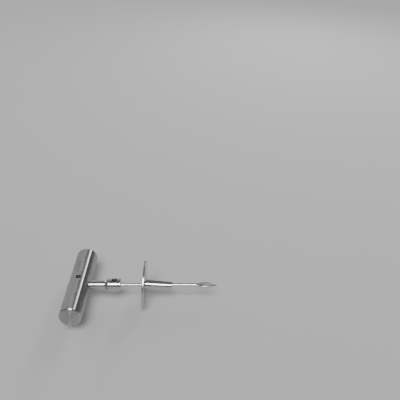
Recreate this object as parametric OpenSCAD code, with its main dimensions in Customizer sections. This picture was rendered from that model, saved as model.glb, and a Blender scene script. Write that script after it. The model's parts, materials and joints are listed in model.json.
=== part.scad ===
// Tyre plug insertion tool: cross bar, shank, replaceable split-eye needle and loose collar.
// Millimetres. Origin where the bar's axis crosses the needle's axis.
// +X points along the needle to its tip, +Y along the bar, +Z up through the set screws.

/* [Handle] */
// Diameter of the cross bar
handle_d = 21.4; // [18:0.1:26]
// Length of the cross bar
handle_len = 95.2; // [76:0.1:115]
// Chamfer round each end of the bar
handle_chamfer = 0.8; // [0.4:0.1:1.6]
// Metal left behind the blind hole that takes the shank
handle_back_wall = 4.2; // [2.5:0.1:5]

/* [Shank] */
// Distance from the bar's axis to the front face of the shank's head
shank_reach = 42; // [36:0.1:55]
// Diameter of the plain rear stem
stem_d = 9.5; // [8:0.1:11.5]
// Diameter of the front head
head_d = 12.7; // [11:0.1:16]
// Length of the head, from the bottom of the V groove to its front face
head_len = 14.9; // [12.5:0.1:18]
// Depth of the V groove below the stem's surface
groove_depth = 0.6; // [0.3:0.1:1]
// Length of the groove's rear flank
groove_run = 1.1; // [0.6:0.1:1.6]
// Length of the cone that rises from the groove to the head
head_cone = 2.4; // [1.5:0.1:3]
// Chamfer on the front edge of the head
head_chamfer = 0.45; // [0.2:0.05:0.8]

/* [Set screws] */
// Outside diameter of both set screws
screw_d = 4.8; // [4:0.1:5]
// Width across the flats of the hex sockets
socket_af = 2.4; // [2:0.1:2.6]
// Depth of the hex sockets
socket_depth = 1.9; // [1.4:0.1:2.3]
// Depth of the bar's screw below the top of the bar
handle_screw_recess = 1.5; // [0.8:0.1:2]
// Depth of the needle's screw below the top of the head
needle_screw_recess = 1.1; // [0.6:0.1:1.5]
// Distance from the head's front face back to the needle's screw
needle_screw_back = 6.3; // [5:0.1:8]
// Depth of the flats that the screws bear on
flat_depth = 0.5; // [0.3:0.05:0.8]

/* [Needle] */
// Diameter of the needle's round rod
needle_d = 3.2; // [2.8:0.1:4]
// Length of needle that stands out of the head, to the tip of the eye
needle_reach = 96; // [80:0.5:110]
// Length of needle inside the head
needle_seat = 12; // [9.5:0.1:12]

/* [Eye] */
// Length of the flattened eye
eye_len = 23; // [18:0.5:27]
// Width across both prongs of the eye
eye_w = 7.2; // [6.6:0.1:8]
// Thickness of the eye at its middle
eye_t = 2.3; // [1.8:0.1:2.8]
// Length of the slot that the plug lies in
slot_len = 13; // [10:0.5:15]
// Width of that slot
slot_w = 3.6; // [2.4:0.1:4]
// Width of the split that opens the slot at the tip
split_w = 0.9; // [0.6:0.1:1.3]

/* [Collar] */
// Distance from the bar's axis to the back of the disc
collar_place = 64.4; // [60:0.1:85]
// Diameter of the disc
disc_d = 48.6; // [40:0.1:60]
// Thickness of the disc
disc_t = 2; // [1.2:0.1:3]
// Length of the sleeve in front of the disc
sleeve_len = 27.1; // [20:0.1:33]
// Diameter of the sleeve at the disc
sleeve_root_d = 9.8; // [9.2:0.1:13]
// Diameter of the sleeve at its nose
sleeve_nose_d = 7.6; // [7:0.1:9]
// Clearance between the needle and the collar's bore, all round
collar_clear = 1.2; // [1.15:0.05:1.4]
// How far the loose collar hangs nose down, as a share of what its bore allows
collar_droop = 0.86; // [0:0.02:1]

/* [Hidden] */
$fn = 96;

// Fits
press_gap = 0.02;  // shank in the bar, sleeve spigot in the disc, all round
run_gap = 0.04;    // needle in the head, screws in their holes, all round
seat_gap = 0.03;   // under the tip of each screw
end_gap = 0.4;     // behind what sits in a blind hole
hang_gap = 0.12;   // between the hanging collar's bore and the needle
past = 1;          // how far a cutter runs past the face it opens
join = 0.01;       // how far a drill point runs into the hole above it

// Bar and shank
handle_r = handle_d / 2;
stem_r = stem_d / 2;
head_r = head_d / 2;
bar_hole_end = handle_back_wall - handle_r;
tail_end = bar_hole_end + end_gap;
tail_chamfer = 0.5;
head_start = shank_reach - head_len;
drill_tip = 0.3;       // cone height at the bottom of a drilled hole, as a share of its diameter

// Screws
screw_r = screw_d / 2;
screw_chamfer = 0.35;
flat_margin = 0.6;     // how far a flat runs on past the edge of its screw
tail_flat_z = stem_r - flat_depth;
tail_flat_half = screw_r + flat_margin;
handle_screw_z = [tail_flat_z + seat_gap, handle_r - handle_screw_recess];
needle_screw_x = shank_reach - needle_screw_back;
needle_flat_z = needle_d / 2 - flat_depth;
needle_screw_z = [needle_flat_z + seat_gap, head_r - needle_screw_recess];

// Needle
needle_r = needle_d / 2;
needle_end = shank_reach - needle_seat;
needle_tip = shank_reach + needle_reach;
eye_start = needle_tip - eye_len;
needle_flat_len = needle_screw_x + screw_r + flat_margin - needle_end;
needle_chamfer = 0.4;
neck_len = eye_len * 0.4;             // the rod fades into the eye over this length
neck_tip_r = eye_t * 0.3;             // radius at which the rod ends inside the eye
eye_mid = eye_start + eye_len * 0.46; // where the eye is widest
eye_crown = eye_w * 1.18;             // width of the lens whose middle is the eye's section
tip_blunt = 3;                        // how far the eye's pointed outline runs on past the tip

// Collar
bore_r = needle_r + collar_clear;
nose_drop = collar_clear - hang_gap;
collar_len = disc_t + sleeve_len;
spigot_r = sleeve_root_d / 2 - 0.9;   // leaves a shoulder for the disc to sit against
spigot_lip = 0.45;                    // what stands out behind the disc, rolled over
nose_chamfer = 0.4;
disc_edge = 0.35;
collar_lean = asin(collar_droop * 2 * nose_drop / (collar_len + spigot_lip));
collar_z = collar_len * sin(collar_lean) - nose_drop;

// A solid of revolution about X, from points [distance along X, radius]
module turned(points) {
    rotate([0, 90, 0])
        rotate_extrude()
            polygon([for (p = points) [p[1], p[0]]]);
}

// A straight hole or rod along X between two distances
module rod_x(r, from, to) {
    translate([from, 0, 0])
        rotate([0, 90, 0])
            cylinder(r = r, h = to - from);
}

// A set screw that stands on Z, with a chamfered crown, a flat cup point and a hex socket
module set_screw(z) {
    difference() {
        rotate_extrude()
            polygon([
                [0, z[0]],
                [screw_r - 2 * screw_chamfer, z[0]],
                [screw_r, z[0] + 2 * screw_chamfer],
                [screw_r, z[1] - screw_chamfer],
                [screw_r - screw_chamfer, z[1]],
                [0, z[1]]
            ]);
        translate([0, 0, z[1] - socket_depth])
            cylinder(d = socket_af / cos(30), h = socket_depth + past, $fn = 6);
        translate([0, 0, z[1] - socket_depth - socket_af * drill_tip])
            cylinder(d1 = 0.2, d2 = socket_af * 0.96, h = socket_af * drill_tip + join);
    }
}

// A hole along Z for a set screw, from its seat out through the surface above
module screw_hole(seat_z, top_z) {
    translate([0, 0, seat_z])
        cylinder(r = screw_r + run_gap, h = top_z + past - seat_z);
}

// An outline with two round sides that meet in a point at each end
module lens(len, width) {
    r = (len * len + width * width) / (4 * width);
    intersection() {
        translate([0, width / 2 - r])
            circle(r = r, $fn = 240);
        translate([0, r - width / 2])
            circle(r = r, $fn = 240);
    }
}

module handle_bar() {
    color([0.62, 0.61, 0.61])
    difference() {
        rotate([90, 0, 0])
            rotate_extrude()
                polygon([
                    [0, -handle_len / 2],
                    [handle_r - handle_chamfer, -handle_len / 2],
                    [handle_r, -handle_len / 2 + handle_chamfer],
                    [handle_r, handle_len / 2 - handle_chamfer],
                    [handle_r - handle_chamfer, handle_len / 2],
                    [0, handle_len / 2]
                ]);
        rod_x(stem_r + press_gap, bar_hole_end, handle_r + past);
        screw_hole(stem_r / 2, handle_r);
    }
}

module shank() {
    color([0.78, 0.78, 0.79])
    difference() {
        turned([
            [tail_end, 0],
            [tail_end, stem_r - tail_chamfer],
            [tail_end + tail_chamfer, stem_r],
            [head_start - groove_run, stem_r],
            [head_start, stem_r - groove_depth],
            [head_start + head_cone, head_r],
            [shank_reach - head_chamfer, head_r],
            [shank_reach, head_r - head_chamfer],
            [shank_reach, 0]
        ]);
        // flat under the bar's screw
        translate([-tail_flat_half, -stem_d, tail_flat_z])
            cube([2 * tail_flat_half, 2 * stem_d, stem_d]);
        // hole for the needle, with a drill point
        rod_x(needle_r + run_gap, needle_end - end_gap, shank_reach + past);
        turned([
            [needle_end - end_gap - needle_d * drill_tip, 0],
            [needle_end - end_gap + join, needle_r],
            [needle_end - end_gap + join, 0]
        ]);
        translate([needle_screw_x, 0, 0])
            screw_hole(0, head_r);
    }
}

module handle_set_screw() {
    color([0.35, 0.35, 0.37])
        set_screw(handle_screw_z);
}

module needle_set_screw() {
    color([0.35, 0.35, 0.37])
    translate([needle_screw_x, 0, 0])
        set_screw(needle_screw_z);
}

// The flattened eye: its outline from above, its outline from the side and its crown
module eye_body() {
    intersection() {
        translate([eye_mid, 0, -eye_t])
            linear_extrude(2 * eye_t)
                lens(2 * (needle_tip - eye_mid) + tip_blunt, eye_w);
        translate([eye_mid, 0, 0])
            rotate([90, 0, 0])
                translate([0, 0, -eye_w])
                    linear_extrude(2 * eye_w)
                        lens(2 * (needle_tip - eye_mid) + 2 * tip_blunt, eye_t);
        rotate([90, 0, 90])
            translate([0, 0, eye_start])
                linear_extrude(eye_len)
                    lens(eye_crown, eye_t);
    }
}

module needle() {
    color([0.8, 0.8, 0.81])
    difference() {
        union() {
            turned([
                [needle_end, 0],
                [needle_end, needle_r - needle_chamfer],
                [needle_end + needle_chamfer, needle_r],
                [eye_start, needle_r],
                [eye_start + neck_len, neck_tip_r],
                [eye_start + neck_len, 0]
            ]);
            eye_body();
        }
        // flat under the screw, open at the inner end so that the needle draws straight out
        translate([needle_end - past, -needle_d, needle_flat_z])
            cube([needle_flat_len + past, 2 * needle_d, needle_d]);
        // slot for the plug, and the split that opens it at the tip
        translate([needle_tip - tip_blunt - slot_len / 2, 0, -eye_t])
            linear_extrude(2 * eye_t)
                lens(slot_len, slot_w);
        translate([needle_tip - tip_blunt - slot_len / 2, -split_w / 2, -eye_t])
            cube([slot_len, split_w, 2 * eye_t]);
    }
}

// Puts the collar on the needle: local X runs from the back of the disc to the nose
module hang_collar() {
    translate([collar_place, 0, collar_z])
        rotate([0, collar_lean, 0])
            children();
}

module collar_disc() {
    color([0.75, 0.75, 0.76])
    hang_collar()
    difference() {
        turned([
            [0, 0],
            [0, disc_d / 2 - disc_edge],
            [disc_edge, disc_d / 2],
            [disc_t - disc_edge, disc_d / 2],
            [disc_t, disc_d / 2 - disc_edge],
            [disc_t, 0]
        ]);
        rod_x(spigot_r + press_gap, -past, disc_t + past);
    }
}

module collar_sleeve() {
    color([0.82, 0.82, 0.83])
    hang_collar()
    difference() {
        turned([
            [-spigot_lip, 0],
            [-spigot_lip, spigot_r],
            [-spigot_lip / 2, spigot_r + spigot_lip],
            [0, spigot_r + spigot_lip],
            [0, spigot_r],
            [disc_t, spigot_r],
            [disc_t, sleeve_root_d / 2],
            [collar_len - nose_chamfer, sleeve_nose_d / 2],
            [collar_len, sleeve_nose_d / 2 - nose_chamfer],
            [collar_len, 0]
        ]);
        rod_x(bore_r, -spigot_lip - past, collar_len + past);
    }
}

handle_bar();
shank();
handle_set_screw();
needle_set_screw();
needle();
collar_disc();
collar_sleeve();
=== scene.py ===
import json
import math

import bmesh
import bpy
import numpy as np
from mathutils import Matrix, Vector


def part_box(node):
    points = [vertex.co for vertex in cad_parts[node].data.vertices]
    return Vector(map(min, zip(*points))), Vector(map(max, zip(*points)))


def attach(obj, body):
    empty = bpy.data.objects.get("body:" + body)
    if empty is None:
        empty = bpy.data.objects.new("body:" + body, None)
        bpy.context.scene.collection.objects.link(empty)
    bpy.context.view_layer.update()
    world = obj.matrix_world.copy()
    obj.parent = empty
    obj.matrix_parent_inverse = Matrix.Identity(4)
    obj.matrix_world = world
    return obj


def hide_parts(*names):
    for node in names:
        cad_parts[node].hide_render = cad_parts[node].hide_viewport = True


# Looks of the tyre plug insertion tool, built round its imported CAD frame. Everything is in metres.
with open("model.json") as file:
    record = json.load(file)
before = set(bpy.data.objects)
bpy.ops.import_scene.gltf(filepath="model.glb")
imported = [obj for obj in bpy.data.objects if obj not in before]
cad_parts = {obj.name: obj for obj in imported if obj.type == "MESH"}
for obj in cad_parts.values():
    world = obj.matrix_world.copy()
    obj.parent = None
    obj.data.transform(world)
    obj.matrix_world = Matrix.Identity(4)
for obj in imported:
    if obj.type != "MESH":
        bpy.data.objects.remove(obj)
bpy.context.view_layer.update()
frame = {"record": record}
MM = 0.001

# ---------------------------------------------------------------- sizes, from the frame

bar_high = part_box("handle_bar")[1]
shank_low, shank_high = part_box("shank")
needle_low, needle_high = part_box("needle")
bar_screw_low, bar_screw_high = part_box("handle_set_screw")
head_screw_low, head_screw_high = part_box("needle_set_screw")
mounts = {mount["name"]: mount for mount in frame["record"]["mounts"]}

# Cross bar
bar_r = bar_high.z
bar_half = bar_high.y
bar_chamfer = 0.8 * MM
bar_hole_end = -bar_r + 4.2 * MM       # bottom of the blind hole that takes the shank

# Shank
stem_r = 4.75 * MM
head_r = shank_high.z
head_front = shank_high.x
groove_x = head_front - 14.9 * MM
groove_depth = 0.6 * MM
groove_run = 1.1 * MM
head_cone = 2.4 * MM
head_chamfer = 0.45 * MM
tail_chamfer = 0.5 * MM
shank_flat_depth = 0.5 * MM
flat_margin = 0.6 * MM                 # how far a flat runs on past the edge of its screw

# Set screws
screw_r = bar_screw_high.x
screw_crown = 0.35 * MM
socket_af = 2.4 * MM
socket_depth = 1.9 * MM
thread_pitch = 0.8 * MM
head_screw_x = (head_screw_low.x + head_screw_high.x) / 2

# Needle and its eye
needle_r = needle_high.z
needle_start = needle_low.x
needle_tip = needle_high.x
needle_flat_z = needle_r - 0.5 * MM
needle_flat_end = head_screw_x + screw_r + flat_margin
needle_chamfer = 0.4 * MM
eye_start = needle_tip - 23 * MM
eye_mid = needle_tip - 12.4 * MM       # where the eye is widest
neck_len = 9.2 * MM                    # the rod fades into the eye over this length
eye_half_w = needle_high.y
eye_half_t = 1.15 * MM
tip_blunt = 3 * MM                     # how far the eye's pointed outline runs on past the tip
slot_len = 13 * MM
slot_mid = needle_tip - tip_blunt - slot_len / 2
slot_half = 1.8 * MM
split_half = 0.45 * MM

# Collar, whose own X runs from the back of its disc to the nose of its sleeve
collar_axis = Vector(mounts["sleeve_nose"]["axis"]).normalized()
disc_r = 24.3 * MM
disc_t = 2 * MM
collar_len = disc_t + 27.1 * MM
sleeve_root_r = 4.9 * MM
sleeve_nose_r = 3.8 * MM
collar_bore_r = needle_r + 1.2 * MM
spigot_r = sleeve_root_r - 0.9 * MM
spigot_lip = 0.45 * MM
nose_chamfer = 0.4 * MM

# Fits and fine shapes
press_gap = 0.02 * MM
run_gap = 0.04 * MM
end_gap = 0.4 * MM                     # behind the needle in its blind hole
lead_in = 0.25 * MM                    # chamfer round the mouth of a socket or a bore
mouth = 0.3 * MM                       # countersink round a screw hole
past = 1 * MM                          # how far a cutter runs past the face that it opens
sliver = 0.002 * MM                    # corners nearer than this after a cut become one
STEPS_AROUND = 144
DISC_STEPS = 240
SCREW_STEPS = 96
HOLE_STEPS = 64
SOCKET_STEPS = 48
ARC_STEPS = 5
ORIGIN = (0, 0, 0)

AXES = {"X": (1, 0, 0), "Y": (0, 1, 0), "Z": (0, 0, 1)}

# ---------------------------------------------------------------- turned shapes


def rounded(points, closed=False):
    """Segments (start, its normal, end, its normal) of an outline with its corners rounded.
    Points are (along, radius) or (along, radius, fillet). The outside is on the left of the way they run."""
    corners = [np.array(point[:2], float) for point in points]
    fillets = [point[2] if len(point) > 2 else 0 for point in points]
    count = len(corners)
    stretches = []
    for i, (here, fillet) in enumerate(zip(corners, fillets)):
        if not fillet:
            stretches.append(([here], []))
            continue
        before, after = corners[i - 1], corners[(i + 1) % count]
        d1 = (here - before) / np.linalg.norm(here - before)
        d2 = (after - here) / np.linalg.norm(after - here)
        turn = math.atan2(d1[0] * d2[1] - d1[1] * d2[0], float(d1 @ d2))
        bulge = -math.copysign(1, turn)
        first = np.array([-d1[1], d1[0]])
        centre = here - d1 * fillet * math.tan(abs(turn) / 2) - bulge * first * fillet
        normals = []
        for k in range(ARC_STEPS + 1):
            c, s = math.cos(turn * k / ARC_STEPS), math.sin(turn * k / ARC_STEPS)
            normals.append(np.array([first[0] * c - first[1] * s, first[0] * s + first[1] * c]))
        stretches.append(([centre + bulge * n * fillet for n in normals], normals))
    segments = []
    for i, (arc, normals) in enumerate(stretches):
        segments += [(arc[k], normals[k], arc[k + 1], normals[k + 1]) for k in range(len(arc) - 1)]
        if i == count - 1 and not closed:
            break
        start, end = arc[-1], stretches[(i + 1) % count][0][0]
        straight = (end - start) / np.linalg.norm(end - start)
        normal = np.array([-straight[1], straight[0]])
        segments.append((start, normal, end, normal))
    return segments


def axes_of(axis):
    """The turning axis and two directions square to it."""
    along = np.array(AXES[axis], float)
    right = np.roll(along, 1)
    return along, right, np.cross(along, right)


def finished(mesh, name):
    """A new object from a bmesh."""
    bmesh.ops.recalc_face_normals(mesh, faces=mesh.faces)
    data = bpy.data.meshes.new(name)
    mesh.to_mesh(data)
    mesh.free()
    piece = bpy.data.objects.new(name, data)
    bpy.context.scene.collection.objects.link(piece)
    return piece


def turned(name, segments, axis, closed=False, centre=(0, 0, 0), steps=STEPS_AROUND):
    """An object turned about an axis through centre from an outline's segments."""
    along, right, up = axes_of(axis)
    points = [segment[0] for segment in segments] + ([] if closed else [segments[-1][2]])
    mesh = bmesh.new()
    rings = []
    for x, r in points:
        middle = np.array(centre) + along * x
        turns = [2 * math.pi * k / steps for k in range(steps)] if r > 1e-7 else [0]
        rings.append([mesh.verts.new(middle + (right * math.cos(a) + up * math.sin(a)) * r) for a in turns])
    if closed:
        rings.append(rings[0])
    for low, high in zip(rings, rings[1:]):
        for k in range(steps):
            j = (k + 1) % steps
            quad = [low[k % len(low)], low[j % len(low)], high[j % len(high)], high[k % len(high)]]
            face = list(dict.fromkeys(quad))
            if len(face) > 2:
                mesh.faces.new(face)
    return finished(mesh, name)


def prism(name, outline, low, high):
    """A straight prism along Z over an outline in (x, y)."""
    mesh = bmesh.new()
    rings = [[mesh.verts.new((x, y, z)) for x, y in outline] for z in (low, high)]
    mesh.faces.new(rings[0][::-1])
    mesh.faces.new(rings[1])
    for k in range(len(outline)):
        j = (k + 1) % len(outline)
        mesh.faces.new([rings[0][k], rings[0][j], rings[1][j], rings[1][k]])
    return finished(mesh, name)


def cut(piece, cutters):
    """Cuts each cutter out of the piece for good, and clears the slivers that the cuts leave."""
    for cutter in cutters:
        step = piece.modifiers.new("cut", "BOOLEAN")
        step.operation = "DIFFERENCE"
        step.solver = "EXACT"
        step.object = cutter
        bpy.context.view_layer.update()
        result = bpy.data.meshes.new_from_object(piece.evaluated_get(bpy.context.evaluated_depsgraph_get()))
        piece.modifiers.clear()
        piece.data = result
        bpy.data.objects.remove(cutter)
    mesh = bmesh.new()
    mesh.from_mesh(piece.data)
    bmesh.ops.remove_doubles(mesh, verts=mesh.verts, dist=sliver)
    bmesh.ops.dissolve_degenerate(mesh, edges=mesh.edges, dist=sliver)
    mesh.to_mesh(piece.data)
    mesh.free()


def shade(piece, surfaces, soft=0, tolerance=0.02 * MM):
    """Gives each face the exact normals of the turned surface that it lies on.
    Elsewhere faces that meet at less than the soft angle are shaded as one.
    A surface is (segments, axis, centre, side, material index), with side -1 for one left by a cutter."""
    mesh = piece.data
    mesh.shade_smooth()
    mesh.set_sharp_from_angle(angle=soft)
    co = np.zeros(len(mesh.vertices) * 3)
    mesh.vertices.foreach_get("co", co)
    co = co.reshape(-1, 3)
    vertex = np.zeros(len(mesh.loops), int)
    mesh.loops.foreach_get("vertex_index", vertex)
    start_of = np.array([face.loop_start for face in mesh.polygons])
    size_of = np.array([face.loop_total for face in mesh.polygons])
    face_of = np.repeat(np.arange(len(start_of)), size_of)
    flat = np.array([face.normal for face in mesh.polygons])[face_of]
    normals = np.array([corner.vector for corner in mesh.corner_normals])
    best = np.full(len(start_of), tolerance)
    slots = np.zeros(len(start_of), int)
    for segments, axis, centre, side, slot in surfaces:
        along, right, up = axes_of(axis)
        local = co - np.array(centre, float)
        across = np.outer(local @ right, right) + np.outer(local @ up, up)
        r = np.linalg.norm(across, axis=1)
        outward = across / np.maximum(r, 1e-9)[:, None]
        at = np.stack([local @ along, r], 1)
        for start, n0, end, n1 in segments:
            way = end - start
            t = np.clip(((at - start) @ way) / (way @ way), 0, 1)[:, None]
            off = np.linalg.norm(at - start - t * way, axis=1)
            worst = np.maximum.reduceat(off[vertex], start_of)
            n = (1 - t) * n0 + t * n1
            exact = side * (n[:, :1] * along + n[:, 1:] * outward)
            exact = (exact / np.linalg.norm(exact, axis=1)[:, None])[vertex]
            agree = np.add.reduceat((exact * flat).sum(1), start_of) / size_of
            chosen = (worst < best) & (agree > 0.5)
            best[chosen] = worst[chosen]
            slots[chosen] = slot
            normals[chosen[face_of]] = exact[chosen[face_of]]
    mesh.polygons.foreach_set("material_index", slots)
    mesh.normals_split_custom_set(normals)


# ---------------------------------------------------------------- pieces


def screw_hole(seat, top):
    """The outline of a screw hole's cutter, from its seat to past the top, with a countersunk mouth."""
    r = screw_r + run_gap
    return rounded([(seat, 0), (seat, r), (top - mouth, r), (top + past, r + mouth + past), (top + past, 0)])


def make_bar():
    edge = 0.25 * MM
    outline = rounded([
        (-bar_half, 0), (-bar_half, bar_r - bar_chamfer, edge), (-bar_half + bar_chamfer, bar_r, edge),
        (bar_half - bar_chamfer, bar_r, edge), (bar_half, bar_r - bar_chamfer, edge), (bar_half, 0)])
    piece = turned("cross_bar", outline, "Y")
    bore_r = stem_r + press_gap
    bore = rounded([(bar_hole_end, 0), (bar_hole_end, bore_r), (bar_r + past, bore_r), (bar_r + past, 0)])
    hole = screw_hole(stem_r / 2, bar_r)
    cut(piece, [turned("bore", bore, "X"), turned("hole", hole, "Z", steps=HOLE_STEPS)])
    shade(piece, [(outline, "Y", ORIGIN, 1, 0), (bore, "X", ORIGIN, -1, 1), (hole, "Z", ORIGIN, -1, 1)])
    return piece


def make_shank():
    tail = shank_low.x
    outline = rounded([
        (tail, 0), (tail, stem_r - tail_chamfer, 0.1 * MM), (tail + tail_chamfer, stem_r, 0.1 * MM),
        (groove_x - groove_run, stem_r, 0.3 * MM), (groove_x, stem_r - groove_depth, 0.15 * MM),
        (groove_x + head_cone, head_r, 0.6 * MM), (head_front - head_chamfer, head_r, 0.2 * MM),
        (head_front, head_r - head_chamfer, 0.2 * MM), (head_front, 0)])
    piece = turned("turned_shank", outline, "X")
    bore_r = needle_r + run_gap
    bore_end = needle_start - end_gap
    bore = rounded([
        (bore_end - needle_r * 0.6, 0), (bore_end, bore_r), (head_front - lead_in, bore_r),
        (head_front + past, bore_r + past + lead_in), (head_front + past, 0)])
    hole = screw_hole(0, head_r)
    centre = (head_screw_x, 0, 0)
    half = screw_r + flat_margin
    flat_z = stem_r - shank_flat_depth
    corners = [(-half, -stem_r), (half, -stem_r), (half, stem_r), (-half, stem_r)]
    cut(piece, [prism("flat", corners, flat_z, flat_z + stem_r),
                turned("bore", bore, "X", steps=HOLE_STEPS),
                turned("hole", hole, "Z", centre=centre, steps=HOLE_STEPS)])
    shade(piece, [(outline, "X", ORIGIN, 1, 0), (bore, "X", ORIGIN, -1, 1), (hole, "Z", centre, -1, 1)])
    return piece


def make_screw(name, low, high):
    """A set screw with a hex socket, a drilled bottom below it and a small lead-in above."""
    centre = Vector(((low.x + high.x) / 2, (low.y + high.y) / 2, low.z))
    top = high.z - low.z
    outline = rounded([
        (0, 0), (0, screw_r - 2 * screw_crown, 0.1 * MM), (2 * screw_crown, screw_r, 0.1 * MM),
        (top - screw_crown, screw_r, 0.12 * MM), (top, screw_r - screw_crown, 0.12 * MM), (top, 0)])
    piece = turned(name, outline, "Z", steps=SCREW_STEPS)
    corner = socket_af / 2 / math.cos(math.pi / 6)
    turns = [math.radians(60 * k) for k in range(6)]
    hexagon = [(corner * math.cos(a), corner * math.sin(a)) for a in turns]
    bottom = top - socket_depth
    drill = rounded([
        (bottom - socket_af * 0.3, 0), (bottom + 0.05 * MM, socket_af * 0.48), (bottom + 0.05 * MM, 0)])
    lead_low = lead_in + 0.03 * MM     # the cone starts inside the hexagon, not grazing its sides
    lead = rounded([
        (top - lead_low, 0), (top - lead_low, socket_af / 2 + lead_in - lead_low),
        (top + past, socket_af / 2 + past + lead_in), (top + past, 0)])
    cut(piece, [prism("socket", hexagon, bottom, top + past),
                turned("drill", drill, "Z", steps=SOCKET_STEPS),
                turned("lead", lead, "Z", steps=SOCKET_STEPS)])
    piece.data.transform(Matrix.Translation(centre))
    shade(piece, [(outline, "Z", centre, 1, 0), (drill, "Z", centre, -1, 0), (lead, "Z", centre, -1, 0)])
    return piece


def make_disc():
    bore = spigot_r + press_gap
    edge = 0.35 * MM
    soft = 0.3 * MM
    outline = rounded([
        (0, bore), (0, disc_r - edge, soft), (edge, disc_r, soft), (disc_t - edge, disc_r, soft),
        (disc_t, disc_r - edge, soft), (disc_t, bore)], closed=True)
    piece = turned("stop_disc", outline, "X", closed=True, steps=DISC_STEPS)
    shade(piece, [(outline, "X", ORIGIN, 1, 0)])
    return piece


def make_sleeve():
    lip = spigot_r + spigot_lip
    outline = rounded([
        (-spigot_lip, collar_bore_r, 0.15 * MM), (-spigot_lip, spigot_r, 0.1 * MM),
        (-spigot_lip / 2, lip, 0.1 * MM), (0, lip), (0, spigot_r), (disc_t, spigot_r),
        (disc_t, sleeve_root_r, 0.25 * MM), (collar_len - nose_chamfer, sleeve_nose_r, 0.25 * MM),
        (collar_len, sleeve_nose_r - nose_chamfer, 0.2 * MM),
        (collar_len, collar_bore_r, 0.2 * MM)], closed=True)
    piece = turned("guide_sleeve", outline, "X", closed=True)
    shade(piece, [(outline, "X", ORIGIN, 1, 0)])
    return piece


def smooth(t):
    t = min(1, max(0, t))
    return t * t * (3 - 2 * t)


def lens_half(x, centre, length, width):
    """Half the width, at x, of an outline with two round sides and pointed ends."""
    r = (length * length + width * width) / (4 * width)
    return max(0, math.sqrt(max(0, r * r - (x - centre) ** 2)) - r + width / 2)


def eye_section(x):
    """Half width, half thickness, the slot's half width and how far the rod has faded into the eye, at x."""
    fade = smooth((x - eye_start) / neck_len)
    wide = lens_half(x, eye_mid, 2 * (needle_tip - eye_mid) + tip_blunt, 2 * eye_half_w)
    thick = lens_half(x, eye_mid, 2 * (needle_tip - eye_mid) + 2 * tip_blunt, 2 * eye_half_t)
    slot = lens_half(x, slot_mid, slot_len, 2 * slot_half)
    if x > slot_mid:
        slot = max(slot, split_half)
    return needle_r + (wide - needle_r) * fade, needle_r + (thick - needle_r) * fade, slot, fade


def make_needle():
    """One loft: a round rod with a ground flat at its inner end, a neck, and an eye split into two prongs."""
    around = 28                            # faces from the top line to the bottom line on one side
    wall = 6                               # faces down the inner wall of a prong
    lengths = 120
    stations = [eye_start + (needle_tip - eye_start) * k / lengths for k in range(lengths + 1)]
    slot_start = slot_mid - slot_len / 2
    opens = min(range(len(stations)), key=lambda k: abs(stations[k] - slot_start))
    stations[opens] = slot_start
    mesh = bmesh.new()
    for side in (1, -1):
        loops, walls = [], []
        for x in stations:
            wide, thick, slot, fade = eye_section(x)
            power = 1 - 0.17 * fade
            loop = []
            for k in range(around + 1):
                a = math.pi * k / around
                y = math.sin(a) ** power
                z = math.copysign(abs(math.cos(a)) ** power, math.cos(a))
                loop.append(mesh.verts.new((x, side * (slot + (wide - slot) * y), thick * z)))
            loops.append(loop)
            walls.append([loop[0]] + [mesh.verts.new((x, side * slot, thick * (1 - 2 * k / wall)))
                                      for k in range(1, wall)] + [loop[-1]])
        for strips, faces in ((loops, around), (walls[opens:], wall)):
            for low, high in zip(strips, strips[1:]):
                for k in range(faces):
                    mesh.faces.new([low[k], low[k + 1], high[k + 1], high[k]])
        mesh.faces.new(loops[-1] + walls[-1][1:-1][::-1])
        rod = [(needle_start, needle_r - needle_chamfer, needle_flat_z),
               (needle_start + needle_chamfer, needle_r, needle_flat_z),
               (needle_flat_end, needle_r, needle_flat_z),
               (needle_flat_end, needle_r, 1),
               (eye_start, needle_r, 1)]
        turns = [math.pi * k / around for k in range(around + 1)]
        rings = [[mesh.verts.new((x, side * r * math.sin(a), min(r * math.cos(a), flat))) for a in turns]
                 for x, r, flat in rod]
        for low, high in zip(rings, rings[1:]):
            for k in range(around):
                mesh.faces.new([low[k], low[k + 1], high[k + 1], high[k]])
        mesh.faces.new(rings[0])
    loose = [v for v in mesh.verts if not v.link_faces]
    bmesh.ops.delete(mesh, geom=loose, context="VERTS")
    bmesh.ops.remove_doubles(mesh, verts=mesh.verts, dist=1e-7)
    bmesh.ops.dissolve_degenerate(mesh, edges=mesh.edges, dist=1e-8)
    piece = finished(mesh, "needle_with_eye")
    rod = rounded([(needle_start + needle_chamfer, needle_r), (eye_start, needle_r)])
    shade(piece, [(rod, "X", ORIGIN, 1, 0)], soft=math.radians(40))
    return piece


# ---------------------------------------------------------------- materials


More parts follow.
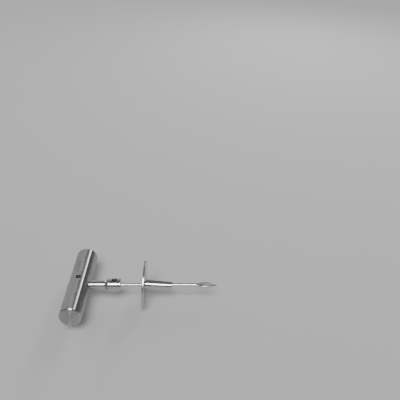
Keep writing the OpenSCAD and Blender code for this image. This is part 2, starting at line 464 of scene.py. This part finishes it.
class Finish:
    """A metal finish being put together: each call adds one node and gives its output."""

    def __init__(self, name, colour, roughness, axis, centre=(0, 0, 0)):
        self.material = bpy.data.materials.new(name)
        self.material.use_nodes = True
        self.tree = self.material.node_tree
        self.shader = self.tree.nodes["Principled BSDF"]
        self.shader.inputs["Metallic"].default_value = 1
        self.axis = axis
        self.colour = (*colour, 1)
        self.roughness = roughness
        self.bump = None
        at = self.add("TexCoord", {}).outputs["Object"]
        self.place = self.vector("SUBTRACT", at, centre)
        self.along = self.vector("DOT_PRODUCT", self.place, AXES[axis], output="Value")
        across = [1 - c for c in AXES[axis]]
        self.radius = self.vector("LENGTH", self.vector("MULTIPLY", self.place, across), output="Value")

    def add(self, kind, inputs, **settings):
        node = self.tree.nodes.new("ShaderNode" + kind)
        for name, value in settings.items():
            setattr(node, name, value)
        for name, value in inputs.items():
            self.feed(node.inputs[name], value)
        return node

    def feed(self, socket, value):
        if isinstance(value, bpy.types.NodeSocket):
            self.tree.links.new(value, socket)
        else:
            socket.default_value = value

    def math(self, operation, *values):
        return self.add("Math", dict(enumerate(values)), operation=operation).outputs[0]

    def vector(self, operation, *values, output="Vector"):
        return self.add("VectorMath", dict(enumerate(values)), operation=operation).outputs[output]

    def noise(self, vector, scale, detail=2.0):
        return self.add("TexNoise", {"Vector": vector, "Scale": scale, "Detail": detail}).outputs["Fac"]

    def fade(self, value, low, high, start=0.0, end=1.0):
        """A smooth step of a value, from start at low to end at high."""
        inputs = {"Value": value, "From Min": low, "From Max": high, "To Min": start, "To Max": end}
        return self.add("MapRange", inputs, interpolation_type="SMOOTHSTEP").outputs[0]

    def blend(self, factor, first, second):
        node = self.add("Mix", {}, data_type="RGBA")
        for socket, value in ((node.inputs[0], factor), (node.inputs[6], first), (node.inputs[7], second)):
            self.feed(socket, value)
        return node.outputs[2]

    def near(self, value, centre, reach):
        """1 where a value is at centre, fading to 0 a reach away."""
        return self.fade(self.math("ABSOLUTE", self.math("SUBTRACT", value, centre)), 0.0, reach, 1.0, 0.0)

    def relief(self, height, depth):
        inputs = {"Height": height, "Distance": depth, "Strength": 1.0}
        if self.bump:
            inputs["Normal"] = self.bump
        self.bump = self.add("Bump", inputs).outputs[0]

    def tint(self, factor, colour):
        self.colour = self.blend(factor, self.colour, (*colour, 1))

    def dull(self, factor, amount):
        """Makes the surface rougher, or smoother where amount is below 0, by a share of amount."""
        self.roughness = self.math("ADD", self.roughness, self.math("MULTIPLY", factor, amount))

    def rings(self, pitch, depth, dulling):
        """Fine tool marks that run round the turning axis, on the sides and on the end faces."""
        marks = self.add("CombineXYZ", {0: self.along, 1: self.radius}).outputs[0]
        pattern = self.noise(marks, 1 / pitch, 3.0)
        self.relief(pattern, depth)
        self.dull(self.math("SUBTRACT", pattern, 0.5), dulling)

    def scratches(self, stretch, scale, depth):
        """Sparse hairlines, long in the direction in which stretch is small."""
        lines = self.noise(self.vector("MULTIPLY", self.place, stretch), scale, 4.0)
        fine = self.fade(lines, 0.62, 0.72)
        self.relief(fine, -depth)
        self.dull(fine, 0.12)

    def handling(self, scale, tone, amount):
        """Broad soft patches where the metal has been handled: a little darker and duller."""
        patches = self.fade(self.noise(self.place, scale, 3.0), 0.42, 0.72)
        self.tint(self.math("MULTIPLY", patches, 0.5), tone)
        self.dull(patches, amount)

    def done(self, anisotropy=0.0):
        self.feed(self.shader.inputs["Base Color"], self.colour)
        self.feed(self.shader.inputs["Roughness"], self.math("MAXIMUM", self.roughness, 0.04))
        if self.bump:
            self.feed(self.shader.inputs["Normal"], self.bump)
        if anisotropy:
            self.shader.inputs["Anisotropic"].default_value = anisotropy
            self.shader.inputs["Anisotropic Rotation"].default_value = 0.25
            tangent = self.add("Tangent", {}, direction_type="RADIAL", axis=self.axis)
            self.feed(self.shader.inputs["Tangent"], tangent.outputs[0])
        return self.material


def bar_metal():
    """Satin turned bar: fine rings, a sharp line of light along it, rubbed brighter at its edges."""
    m = Finish("satin_turned_bar", (0.44, 0.44, 0.445), 0.27, "Y")
    m.rings(0.09 * MM, 0.004 * MM, 0.10)
    m.rings(0.7 * MM, 0.003 * MM, 0.05)
    m.scratches((40, 900, 40), 1.0, 0.004 * MM)
    m.handling(70.0, (0.37, 0.365, 0.36), 0.05)
    end = m.math("ABSOLUTE", m.along)
    rim = m.math("MULTIPLY", m.fade(end, bar_half - 1.3 * MM, bar_half - 0.5 * MM),
                 m.fade(m.radius, bar_r - 1.4 * MM, bar_r - 0.6 * MM))
    worn = m.math("MULTIPLY", rim, m.fade(m.noise(m.place, 900.0, 3.0), 0.4, 0.6))
    m.tint(worn, (0.62, 0.62, 0.62))
    m.dull(worn, -0.08)
    return m.done(0.96)


def shaded_hole_metal(name, centre):
    """The wall of a tapped or drilled hole: metal darkened with painted shade inside the hole, with a fine
    thread round Z.
    """
    # the dark base colour is painted shade inside the hole
    m = Finish(name, (0.15, 0.145, 0.14), 0.42, "Z", centre)
    parts = m.add("SeparateXYZ", {0: m.place}).outputs
    turn = m.math("DIVIDE", m.math("ARCTAN2", parts[1], parts[0]), 2 * math.pi)
    turns_up = m.math("ADD", m.math("DIVIDE", m.along, thread_pitch), turn)
    phase = m.math("MULTIPLY", turns_up, 2 * math.pi)
    m.relief(m.math("SINE", phase), 0.12 * MM)
    m.handling(400.0, (0.07, 0.065, 0.06), 0.1)
    return m.done()


def shank_metal():
    """Bright plating over a turned shank, with mottled painted shade darkening the V groove and the joint
    with the bar.
    """
    m = Finish("plated_shank_metal", (0.60, 0.60, 0.61), 0.13, "X")
    m.rings(0.12 * MM, 0.0012 * MM, 0.06)
    m.scratches((900, 60, 60), 1.0, 0.002 * MM)
    m.handling(160.0, (0.50, 0.49, 0.475), 0.08)
    spots = m.noise(m.place, 1500.0, 3.0)
    # painted shade: a mottled darker, duller tint in the V groove and where the shank meets the bar
    for place, reach in ((groove_x, 0.9 * MM), (bar_r, 0.9 * MM)):
        crease_shade = m.math("MULTIPLY", m.near(m.along, place, reach), m.fade(spots, 0.3, 0.6))
        m.tint(crease_shade, (0.20, 0.18, 0.16))
        m.dull(crease_shade, 0.25)
    return m.done()


def screw_metal(name, centre_x, top):
    """Black oxide, rubbed bright round the mouth of the hex socket."""
    m = Finish(name, (0.07, 0.07, 0.075), 0.38, "Z", (centre_x, 0, 0))
    m.relief(m.noise(m.place, 3000.0, 3.0), 0.01 * MM)
    m.handling(900.0, (0.12, 0.10, 0.08), 0.12)
    mouth_ring = m.near(m.radius, socket_af / 2 + 0.15 * MM, 0.25 * MM)
    rubbed = m.math("MULTIPLY", mouth_ring, m.near(m.along, top, 0.3 * MM))
    m.tint(m.math("MULTIPLY", rubbed, 0.7), (0.45, 0.44, 0.43))
    return m.done()


def needle_metal():
    """Drawn steel wire, bright along the rod, forged and duller at the eye."""
    m = Finish("drawn_needle_steel", (0.58, 0.58, 0.58), 0.17, "X")
    m.scratches((30, 1500, 1500), 1.0, 0.003 * MM)
    m.handling(220.0, (0.47, 0.455, 0.44), 0.10)
    forged = m.fade(m.along, eye_start, eye_start + neck_len)
    dimples = m.noise(m.place, 700.0, 2.0)
    m.relief(m.math("MULTIPLY", dimples, forged), 0.05 * MM)
    m.dull(forged, 0.10)
    parts = m.add("SeparateXYZ", {0: m.place}).outputs
    inside = m.fade(m.math("ABSOLUTE", parts[1]), split_half, slot_half + 0.3 * MM, 1.0, 0.0)
    residue = m.math("MULTIPLY", m.math("MULTIPLY", forged, inside), m.fade(dimples, 0.45, 0.6))
    m.tint(m.math("MULTIPLY", residue, 0.6), (0.16, 0.14, 0.13))
    m.dull(residue, 0.2)
    return m.done()


def disc_metal():
    """Spun plating: rings on both faces, a rim rubbed bright, and painted shade round the root of the sleeve.
    """
    m = Finish("spun_disc_metal", (0.57, 0.57, 0.58), 0.19, "X")
    m.rings(0.15 * MM, 0.0025 * MM, 0.10)
    m.scratches((50, 600, 120), 1.0, 0.003 * MM)
    m.handling(90.0, (0.48, 0.47, 0.455), 0.10)
    rim = m.fade(m.radius, disc_r - 0.8 * MM, disc_r - 0.1 * MM)
    nicks = m.fade(m.noise(m.place, 1200.0, 3.0), 0.5, 0.68)
    m.tint(m.math("MULTIPLY", rim, nicks), (0.78, 0.78, 0.78))
    # painted shade: a darker ring where the sleeve meets the disc
    root_shade = m.math("MULTIPLY", m.near(m.radius, sleeve_root_r, 0.7 * MM), m.fade(nicks, 0.0, 0.4, 0.6, 1.0))
    m.tint(m.math("MULTIPLY", root_shade, 0.6), (0.25, 0.22, 0.20))
    return m.done()


def sleeve_metal():
    """Polished plating, scuffed lengthwise towards the nose, where it meets the tyre."""
    m = Finish("plated_sleeve_metal", (0.62, 0.62, 0.63), 0.10, "X")
    m.rings(0.12 * MM, 0.001 * MM, 0.05)
    m.scratches((80, 900, 900), 1.0, 0.002 * MM)
    m.handling(180.0, (0.53, 0.52, 0.505), 0.06)
    nose = m.fade(m.along, collar_len - 7 * MM, collar_len)
    m.dull(m.math("MULTIPLY", nose, m.fade(m.noise(m.place, 500.0, 3.0), 0.4, 0.65)), 0.16)
    return m.done()


# ---------------------------------------------------------------- the tool

nose = Vector(mounts["sleeve_nose"]["pos_m"])
nose.y = 0
lean = math.asin(-collar_axis.z)
collar_place = Matrix.Translation(nose - collar_axis * collar_len) @ Matrix.Rotation(lean, 4, "Y")
bar_hole = shaded_hole_metal("tapped_hole_in_bar_painted_shade", (0, 0, 0))
head_hole = shaded_hole_metal("tapped_hole_in_head_painted_shade", (head_screw_x, 0, 0))

TOOL = [
    (make_bar(), "handle", "handle_bar", "turned_bar", [bar_metal(), bar_hole]),
    (make_shank(), "handle", "shank", "plated_shank", [shank_metal(), head_hole]),
    (make_screw("bar_screw", bar_screw_low, bar_screw_high), "handle", "handle_set_screw",
     "black_screw", [screw_metal("black_bar_screw", 0, bar_screw_high.z)]),
    (make_screw("head_screw", head_screw_low, head_screw_high), "needle_screw", "needle_set_screw",
     "black_screw", [screw_metal("black_head_screw", head_screw_x, head_screw_high.z)]),
    (make_needle(), "needle", "needle", "bright_needle", [needle_metal()]),
    (make_disc(), "collar", "collar_disc", "plated_disc", [disc_metal()]),
    (make_sleeve(), "collar", "collar_sleeve", "plated_sleeve", [sleeve_metal()]),
]
for piece, body, node, slot, materials in TOOL:
    if body == "collar":
        piece.matrix_world = collar_place
    slots = [face.material_index for face in piece.data.polygons]
    piece.data.materials.clear()
    for material in materials:
        piece.data.materials.append(material)
    piece.data.polygons.foreach_set("material_index", slots)
    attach(piece, body)
    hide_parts(node)

# ---------------------------------------------------------------- floor, light and camera

floor_mesh = bmesh.new()
bmesh.ops.create_grid(floor_mesh, x_segments=1, y_segments=1, size=5)
floor = finished(floor_mesh, "floor")
floor.location.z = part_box("collar_disc")[0].z
paper = bpy.data.materials.new("pale_floor")
paper.use_nodes = True
paper.node_tree.nodes["Principled BSDF"].inputs["Base Color"].default_value = (0.56, 0.56, 0.56, 1)
paper.node_tree.nodes["Principled BSDF"].inputs["Roughness"].default_value = 0.9
floor.data.materials.append(paper)

world = bpy.data.worlds.new("dim_room")
world.use_nodes = True
world.node_tree.nodes["Background"].inputs["Color"].default_value = (0.17, 0.17, 0.175, 1)
bpy.context.scene.world = world


def lamp(name, kind, direction, strength, tall_way=(0, 0, 1)):
    """A light that shines on the tool from a direction, with its height along tall_way."""
    light = bpy.data.lights.new(name, kind)
    light.energy = strength
    holder = bpy.data.objects.new(name, light)
    bpy.context.scene.collection.objects.link(holder)
    way = Vector(direction).normalized()
    side = Vector(tall_way).cross(way).normalized()
    turn = Matrix((side, way.cross(side), way)).transposed().to_4x4()
    holder.matrix_world = Matrix.Translation(tool_middle + way * lamp_distance) @ turn
    holder.visible_camera = False
    return light


def softbox(name, direction, width, height, radiance, tall_way=(0, 0, 1)):
    light = lamp(name, "AREA", direction, radiance * math.pi * width * height, tall_way)
    light.shape = "RECTANGLE"
    light.size = width
    light.size_y = height


tool_middle = Vector((0.05, 0, 0))
lamp_distance = 1.3
key = lamp("key", "SUN", (-0.03, -0.615, 0.788), 2.6)
key.angle = math.radians(26)
along_bar = (-0.37, 0.65, -0.65)
softbox("strip", (0.39, 0.76, 0.525), 0.03, 0.9, 34, along_bar)
softbox("shoulder", (0.30, 0.75, 0.58), 0.16, 0.9, 2.2, along_bar)
fill = lamp("fill", "SUN", (-0.66, 0.66, 0.36), 0.5)
fill.angle = math.radians(75)

camera = bpy.data.cameras.new("camera")
camera.lens = 49.77
camera.sensor_width = 36
camera.clip_start = 0.01
viewer = bpy.data.objects.new("camera", camera)
bpy.context.scene.collection.objects.link(viewer)
viewer.location = (0.12135, -0.434, 0.358)
viewer.rotation_euler = (math.radians(90 - 30.8), 0, 0)
bpy.context.scene.camera = viewer
